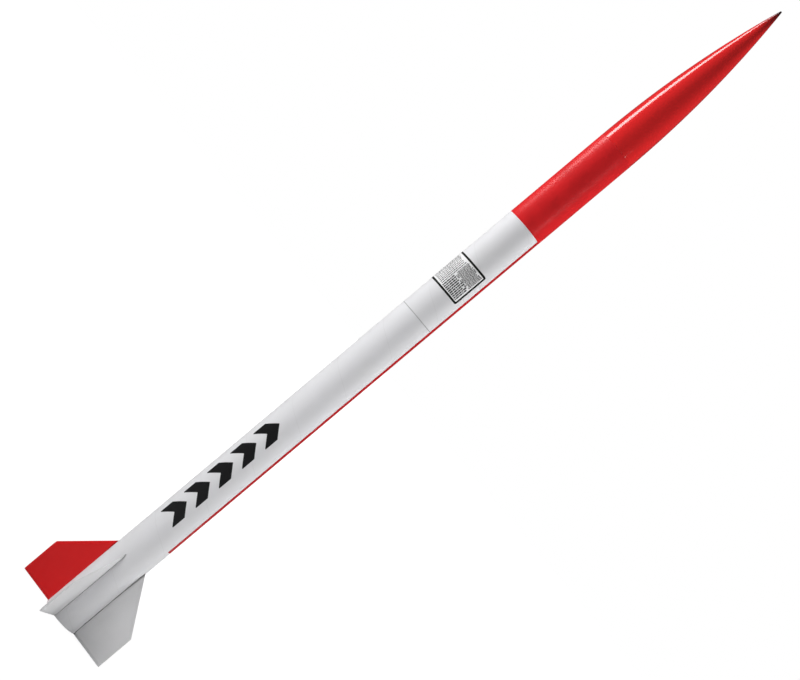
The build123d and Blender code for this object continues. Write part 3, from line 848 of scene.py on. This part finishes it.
def stripe():
    azimuth, half, bottom, top = film_patch("side_stripe")
    mesh = wrapped_film("stripe", [rectangle(-half, half, bottom, top)], TUBE_R, FILM, azimuth)
    piece(mesh, "side_stripe", "red_film", STRIPE_FILM)


def chevrons():
    """Five bold black chevrons that point to the nose."""
    azimuth, half, bottom, top = film_patch("body_markings")
    count = 5
    length = 43.5 * MM
    stroke = 25 * MM
    pitch = (top - bottom - length) / (count - 1)
    outlines = []
    for k in range(count):
        z = bottom + k * pitch
        point = z + length - stroke
        lower_edge = [(-half, z), (0, point), (half, z)]
        upper_edge = [(half, z + stroke), (0, z + length), (-half, z + stroke)]
        outlines.append(rounded(lower_edge + upper_edge, 0.8 * MM))
    mesh = wrapped_film("chevrons", outlines, TUBE_R, FILM, azimuth)
    piece(mesh, "body_markings", "black_film", BLACK_FILM)


def panel():
    """A white label with a black border, and blocks of fine print that spell nothing."""
    azimuth, half, bottom, top = film_patch("data_panel")
    corner = 3 * MM
    border = 3.4 * MM

    def edge(inset):
        corners = rectangle(inset - half, half - inset, bottom + inset, top - inset)
        return rounded(corners, max(corner - inset, 0.4 * MM), steps=6)

    sheet = wrapped_film("panel_sheet", [edge(0.0)], TUBE_R, FILM, azimuth)
    piece(sheet, "data_panel", "white_film", WHITE_FILM)
    face_r = TUBE_R + FILM
    ring = wrapped_film("panel_print", [(edge(0.0), edge(border))], face_r, PRINT, azimuth)
    bars = fine_print(half, bottom + border, top - border)
    lines = wrapped_film("panel_lines", bars, face_r, PRINT, azimuth)
    for face in lines.polygons:
        face.material_index = 1
    join(ring, lines)
    piece(ring, "data_panel_print", "black_print", BLACK_PRINT, GREY_PRINT)


def fine_print(half_width, bottom, top):
    """Two columns of bars along the body: bold rows in the aft one, a dense block in the forward one.

    The rows after them run the whole width. Each kind of bar has a thickness and a longest length."""
    plain, bold, dense = (1.5 * MM, 4.0 * MM), (2.15 * MM, 6.0 * MM), (1.15 * MM, 3.0 * MM)
    margin = 1.4 * MM
    ragged = 3 * MM
    pitch = 3.4 * MM
    rows, body_rows = 20, 10
    first_u = half_width - 8.5 * MM
    bars = []
    for row in range(rows):
        u = first_u - row * pitch
        if row >= body_rows:
            bars += bar_row(u, plain, bottom + 2 * margin, top - margin - ragged * abs(sin(row)), row)
            continue
        gutter = (bottom + top) / 2 + ragged * sin(2.3 * row)
        bars += bar_row(u, bold, bottom + margin, gutter, row)
        for half_row in range(2):
            seed = rows + 2 * row + half_row
            bars += bar_row(u + half_row * pitch / 2, dense, gutter, top - margin, seed)
    return bars


def bar_row(u, size, start, end, seed):
    """Bars of uneven length, end to end up the body, between two heights."""
    thickness, longest = size
    gap = 0.7 * MM
    bars = []
    z = start
    while True:
        length = longest * (0.3 + 0.7 * abs(sin(12.9 * seed + 7.3 * len(bars))))
        if z + length > end:
            return bars
        bars.append(rectangle(u, u + thickness, z, z + length))
        z += length + gap


# -------- launch lugs
def lugs():
    """Paper guide tubes, each bedded on the body in a fillet of glue."""
    for name in ("launch_lug_aft", "launch_lug_forward"):
        mount = name + "_bore"
        centre = Vector(MOUNTS[mount]["pos_m"])
        azimuth = atan2(centre.x, -centre.y) * 180 / pi
        bottom, top = span(name)
        profile = tube_profile(centre.xy.length - TUBE_R, bore_r(mount), bottom, top, 0.2 * MM, rows=2)
        mesh = revolve(name + "_tube", profile, 96)
        mesh.transform(Matrix.Translation((centre.x, centre.y, 0)))
        join(mesh, glue_fillet(name + "_glue", azimuth, bottom, top))
        piece(mesh, name, "white_tube", WHITE_TUBE)


def glue_fillet(name, azimuth, bottom, top):
    """The wedge of glue under a lug: flat on the body, concave at its sides, narrower at its ends."""
    out, side = radial(azimuth), tangent(azimuth)
    widest = 4.2 * MM
    height = 3.2 * MM
    rows, points = 24, 12
    sections = []
    for i in range(rows + 1):
        z = bottom + (top - bottom) * i / rows
        half = widest * (1 - 0.35 * abs(2 * i / rows - 1) ** 6)
        us = [half * (2 * k / points - 1) for k in range(points + 1)]
        edge = [(u, height * (1 - abs(u / half)) ** 2 + 0.02 * MM) for u in us]
        edge += [(u, -0.05 * MM) for u in reversed(us)]
        sections.append([out * (TUBE_R * cos(u / TUBE_R) + h) + side * u + up(z) for u, h in edge])
    return loft(name, sections)


# -------- motor hook
def motor_hook():
    """A spring strip bent through round corners: tang, long run, folded finger and thumb tab."""
    azimuth = 45
    sheet = 0.8 * MM
    width = 6.3 * MM
    run_r = high("motor_mount_tube").x + 0.1 * MM + sheet / 2
    top = high("motor_hook").z - sheet / 2
    finger_z = low("motor_mount_tube").z - 0.3 * MM - sheet / 2
    fold_z = finger_z - 1.3 * MM
    finger_r = 12 * MM + sheet / 2
    thumb_r = 22 * MM - sheet / 2
    corners = [
        (finger_r, top),
        (run_r, top, 1.0 * MM),
        (run_r, finger_z, 0.9 * MM),
        (finger_r, finger_z, 0.6 * MM),
        (finger_r, fold_z, 0.6 * MM),
        (thumb_r, fold_z, 1.2 * MM),
        (thumb_r, low("motor_hook").z),
    ]
    centre = rounded(corners, 0, steps=6, closed=False)
    left, right = [], []
    for i, p in enumerate(centre):
        ahead = centre[min(i + 1, len(centre) - 1)] - centre[max(i - 1, 0)]
        across = Vector((-ahead.y, ahead.x)).normalized() * sheet / 2
        left.append(p + across)
        right.append(p - across)
    full = left + right[::-1]
    ease = 0.12 * MM
    eased = [p.lerp(partner, ease / sheet) for p, partner in zip(full, reversed(full))]
    out, side = radial(azimuth), tangent(azimuth)
    edge = width / 2
    sections = []
    for across, outline in ((-edge, eased), (ease - edge, full), (edge - ease, full), (edge, eased)):
        sections.append([out * p.x + side * across + up(p.y) for p in outline])
    mesh = loft("hook_strip", sections)
    piece(mesh, "motor_hook", "spring_steel", SPRING, body="hook", sharp=40)


# -------- recovery gear
X, Y, Z = (Vector(axis) for axis in ((1, 0, 0), (0, 1, 0), (0, 0, 1)))
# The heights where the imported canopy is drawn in, as shares of its length.
CINCHES = (0.3, 0.68)


def polar(r, turn, z):
    return Vector((r * cos(turn), r * sin(turn), z))


def square_to(axis):
    """Two unit vectors square to an axis and to each other."""
    side = axis.orthogonal().normalized()
    return side, axis.cross(side)


def ring_path(centre, radius, axis):
    side, other = square_to(axis)
    count = 40
    turns = [tau * k / count for k in range(count)]
    return [centre + radius * (side * cos(turn) + other * sin(turn)) for turn in turns]


def knot_path(centre, size, axis):
    """A tight overhand knot: a trefoil squashed along the cord's run."""
    side, other = square_to(axis)
    count = 90
    path = []
    for k in range(count):
        t = tau * k / count
        place = centre + side * size * (sin(t) + 2 * sin(2 * t)) / 3
        place += other * size * (cos(t) - 2 * cos(2 * t)) / 3
        path.append(place + axis * size * -sin(3 * t) * 0.45)
    return path


def shock_cord():
    """Braided elastic: a loop and knot at each end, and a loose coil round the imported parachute."""
    cord_r = 1.6 * MM
    loop_r = 3.6 * MM
    knot_size = 2.6 * MM
    coil_r = high("shock_cord").x - cord_r
    bottom, top = span("shock_cord")
    anchor_z = bottom + cord_r + loop_r
    nose_z = top - 2.8 * MM
    eye_r, wire_r = 6.5 * MM, 1.5 * MM
    nose_x = -eye_r + wire_r + cord_r + 0.2 * MM - loop_r
    anchor_knot = up(anchor_z + loop_r + cord_r)
    nose_knot = Vector((nose_x - loop_r - cord_r, 0, nose_z))
    coil_bottom, coil_top = 762 * MM, 982 * MM
    turns = 2.5
    steps = 30
    guide = [anchor_knot, anchor_knot + Vector((6 * MM, 0, 7 * MM))]
    for k in range(steps + 1):
        t = k / steps
        turn = tau * turns * t
        wander = 1 - 0.03 * abs(sin(3.7 * turn))
        guide.append(polar(coil_r * wander, turn, coil_bottom + (coil_top - coil_bottom) * t))
    for share, below in ((0.98, 36 * MM), (0.9, 14 * MM)):
        guide.append(Vector((-coil_r * share, 0, nose_z - below)))
    guide.append(nose_knot)
    loops = [
        ring_path(up(anchor_z), loop_r, X),
        ring_path(Vector((nose_x, 0, nose_z)), loop_r, Z),
        knot_path(anchor_knot, knot_size, Z),
        knot_path(nose_knot, knot_size, X),
    ]
    mesh = cord_mesh("elastic_cord", cord_r, loops, [smooth_path(guide, 420)])
    obj = piece(mesh, "shock_cord", "elastic", ELASTIC, body=None)
    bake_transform(obj)


def shroud_lines(canopy):
    """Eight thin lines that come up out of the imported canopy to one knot, and loop through the snap."""
    line_r = 0.6 * MM
    loop_r = 2.2 * MM
    spread = high("shroud_lines").x - line_r
    bottom, top = span("shroud_lines")
    loop_z = top - line_r - loop_r
    knot = up(loop_z - loop_r - 2 * MM)
    foot_z = bottom + line_r
    crown = [v.co for v in canopy.data.vertices if v.co.z > foot_z - 20 * MM]
    loops = [ring_path(up(loop_z), loop_r, Y), knot_path(knot, 1.7 * MM, Z)]
    lines = []
    count = 8
    for k in range(count):
        azimuth = 360 / count * (k + 0.5)
        out = radial(azimuth)
        sway = tangent(azimuth) * (1.5 * MM * (1 if k % 2 else -1))
        foot = out * spread
        foot.z = max(co.z for co in crown if (co.xy - foot.xy).length < 2 * MM) - line_r
        guide = [
            knot,
            knot + out * spread * 0.28 + sway - up(5 * MM),
            out * spread * 0.75 + sway + up(foot_z + 5 * MM),
            foot,
        ]
        lines.append(smooth_path(guide, 30))
    mesh = cord_mesh("line_bundle", line_r, loops, lines)
    obj = piece(mesh, "shroud_lines", "line_thread", THREAD, body=None)
    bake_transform(obj)


def parachute():
    """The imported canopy: pleated nylon in a bundle, drawn in at two places and puffed out between them."""
    limit_r = high("parachute_canopy").x
    bottom, top = span("parachute_canopy")
    mesh = rolled_pack(limit_r, bottom, top)
    obj = piece(mesh, "parachute_canopy", "canopy_nylon", NYLON, body="parachute", sharp=180)
    puff_out(obj, bottom, top)
    crease(obj, limit_r, bottom, top)
    return obj


def cinched(t, reach):
    """1 where the pack is drawn in, at shares t of its height, and 0 a reach away."""
    return max(max(0.0, 1 - abs(t - c) / reach) for c in CINCHES)


def rolled_pack(limit_r, bottom, top):
    """A pleated bundle with rounded ends."""
    around, rows = 120, 100
    end_r = 11 * MM
    sections = []
    for i in range(rows + 1):
        t = i / rows
        from_end = min(t, 1 - t) * (top - bottom)
        shoulder = sqrt(1 - (1 - min(from_end / end_r, 1)) ** 2)
        section = []
        for k in range(around):
            turn = tau * k / around
            pleat = 0.07 * abs(sin(5 * turn + 0.6 * sin(3 * turn) + 0.8 * sin(9 * t)))
            r = limit_r * (0.86 + pleat) * (1 - 0.12 * cinched(t, 0.05)) * max(shoulder, 0.02)
            section.append(polar(r, turn, bottom + (top - bottom) * t))
        sections.append(section)
    return loft("canopy_pack", sections)


def puff_out(obj, bottom, top):
    """Lets the cloth swell under a little pressure, held where it is drawn in, and smooths the result."""
    coarse = obj.modifiers.new("coarse", "REMESH")
    coarse.mode = "VOXEL"
    coarse.voxel_size = 4 * MM
    apply_modifiers(obj)
    start = [v.co.copy() for v in obj.data.vertices]
    held = obj.vertex_groups.new(name="held")
    for i, co in enumerate(start):
        held.add([i], cinched((co.z - bottom) / (top - bottom), 0.03), "REPLACE")
    cloth = obj.modifiers.new("cloth", "CLOTH").settings
    cloth.use_pressure = True
    cloth.uniform_pressure_force = 4
    cloth.effector_weights.gravity = 0
    cloth.vertex_group_mass = held.name
    scene = bpy.context.scene
    frames = 20
    for step in range(1, frames + 1):
        scene.frame_set(step)
    apply_modifiers(obj)
    scene.frame_set(1)
    furthest = 2 * MM
    for v, co in zip(obj.data.vertices, start):
        moved = v.co - co
        if moved.length > furthest:
            v.co = co + moved.normalized() * furthest
    fine = obj.modifiers.new("fine", "SUBSURF")
    fine.levels = 2
    apply_modifiers(obj)


def crease(obj, limit_r, bottom, top):
    """Folds along the pack, the free edge that winds round it, and the spiral of the roll on its ends."""
    verts = obj.data.vertices
    widest = max(v.co.xy.length for v in verts)
    lowest = min(v.co.z for v in verts)
    tallest = max(v.co.z for v in verts) - lowest
    edge_step = 0.7 * MM
    fold_depth = 1.6 * MM
    ruffle_depth = 0.3 * MM
    roll_pitch = 4.5 * MM
    roll_depth = 0.6 * MM
    end_share = 0.06
    for v in verts:
        t = (v.co.z - lowest) / tallest
        turn = atan2(v.co.y, v.co.x)
        r = v.co.xy.length * (limit_r - edge_step) / widest
        wander = noise.noise(polar(2, turn, 6 * t))
        fold = abs(sin(6 * turn + 1.2 * sin(2 * turn) + 1.5 * wander + 2 * t)) ** 0.35
        edge = (turn / tau + 1.4 * t) % 1.0
        ruffle = noise.noise(polar(5, turn, 30 * t))
        side = min(1.0, r / (0.6 * limit_r))
        rolled = sin(turn + tau * r / roll_pitch) * min(1.0, r / (6 * MM))
        end = max(0.0, abs(2 * t - 1) - (1 - end_share)) / end_share
        r += side * (edge_step * (1 - edge) - fold_depth * (1 - fold) + ruffle_depth * (ruffle - 1))
        inward = roll_depth * end * (1 + rolled) * (1 if t < 0.5 else -1)
        v.co = polar(r, turn, bottom + (top - bottom) * t + inward)
    obj.data.shade_smooth()


# -------- CAD nodes that stay, with better finishes
def finish_cad_nodes():
    """Gives the small CAD parts that are shown as they are a better finish."""
    plates = [f"{kind}_{end}" for kind in ("centering_ring", "baffle_plate") for end in ("aft", "forward")]
    fixings = [f"{end}_{part}" for end in ("anchor", "nose") for part in ("eye_bolt", "washer", "nut")]
    finishes = {
        PLYWOOD: plates,
        PLATED: fixings + ["swivel_snap"],
        BRASS: ["swivel_barrel"],
        BAND_FILM: ["hook_retaining_band"],
    }
    for material, node_names in finishes.items():
        for node_name in node_names:
            for slot in frame["nodes"][node_name].material_slots:
                slot.material = material


# -------- stage
VIEW_AZIMUTH = 16.4
VIEW_DISTANCE = 3.49
VIEW_ROLL = 49.95
VIEW_LENS = 101.2


def aimed(name, data, place, towards, roll=0.0):
    """A camera or a light at a place, facing a direction."""
    obj = placed(name, data)
    obj.location = place
    obj.rotation_mode = "QUATERNION"
    obj.rotation_quaternion = towards.to_track_quat("-Z", "Y") @ Quaternion((0, 0, 1), radians(roll))
    return obj


def camera():
    data = bpy.data.cameras.new("camera")
    data.lens = VIEW_LENS
    data.sensor_width = 36
    aim = Vector((8.7 * MM, 2.6 * MM, 679.8 * MM))
    place = aim + radial(VIEW_AZIMUTH) * VIEW_DISTANCE + up(5.6 * MM)
    bpy.context.scene.camera = aimed("camera", data, place, aim - place, VIEW_ROLL)


def softbox(name, turn, distance, height, width, tall, brightness, reflected=False):
    """An upright softbox that faces the body from a turn to the right of the camera.

    Only a reflected softbox shows in glossy surfaces. The camera sees none of them. The others are sampled
    directly and never by chance, or chance rays would leave their reflections as specks."""
    data = bpy.data.lights.new(name, "AREA")
    data.shape = "RECTANGLE"
    data.size = width
    data.size_y = tall
    data.energy = brightness * pi * width * tall
    data.cycles.use_multiple_importance_sampling = reflected
    out = radial(VIEW_AZIMUTH + turn)
    obj = aimed(name, data, out * distance + up(height), -out)
    obj.visible_camera = False
    obj.visible_glossy = reflected


def world():
    """White behind the object for the camera, and a softer white for the light it gives."""
    made = bpy.data.worlds.new("studio")
    bpy.context.scene.world = made
    made.use_nodes = True
    made.node_tree.nodes.clear()
    nodes = Nodes(made.node_tree)
    camera_ray = nodes.add("LightPath").outputs["Is Camera Ray"]
    strength = nodes.ramp(camera_ray, 0, 1, 0.05, 1.0)
    background = nodes.add("Background", {"Color": (1, 1, 1, 1), "Strength": strength})
    nodes.add("OutputWorld", {"Surface": background.outputs[0]})


def floor():
    """A pale floor that fades into the white behind it, and keeps a soft shadow near the object."""
    bm = bmesh.new()
    bmesh.ops.create_circle(bm, cap_ends=True, radius=40, segments=64)
    obj = placed("floor", mesh_from(bm, "floor"))
    obj.location.z = -0.5 * MM
    s = Surface("pale_floor", base_color=(0.62, 0.62, 0.62, 1), roughness=0.9)
    distance = s.add("VectorMath", {0: s.place}, {"operation": "LENGTH"}).outputs["Value"]
    own_white = s.ramp(distance, 0.2, 1.6, 0.78, 0.97)
    share = s.times(s.add("LightPath").outputs["Is Camera Ray"], own_white)
    glow = s.add("Emission", {"Color": (1, 1, 1, 1), "Strength": 1.2})
    blend = s.add("MixShader", {0: share, 1: s.shader.outputs[0], 2: glow.outputs[0]})
    s.feed(s.tree.nodes["Material Output"].inputs["Surface"], blend.outputs[0])
    obj.data.materials.append(s.material)


def stage():
    camera()
    world()
    floor()
    softbox("key_strip", -97, 1.6, 1.9, 0.5, 1.4, 7.5, reflected=True)
    softbox("left_box", -78, 1.5, 1.45, 1.0, 0.7, 7.5)
    softbox("right_box", 99, 1.6, 1.3, 0.9, 0.6, 10.0)
    softbox("right_low", 105, 1.6, 0.3, 0.5, 1.0, 3.6)
    softbox("front_right", 52, 1.4, 0.6, 0.55, 1.2, 2.3)
    softbox("front_left", -42, 1.0, 0.4, 0.5, 0.6, 2.7)
    softbox("front_low", -5, 1.0, 0.7, 0.4, 0.5, 1.4)
    softbox("fine_strip", 57, 1.6, 0.95, 0.15, 0.6, 3.5, reflected=True)
    softbox("back_fill", 180, 2.2, 0.8, 1.2, 1.6, 1.5)
    bpy.context.scene.view_settings.view_transform = "Standard"


body_tube("upper_tube", "upper_body_tube")
lower_tube()
inner_tubes()
fins()
nose()
nose_plug()
nose_wrap()
stripe()
chevrons()
panel()
lugs()
motor_hook()
shock_cord()
shroud_lines(parachute())
finish_cad_nodes()
stage()
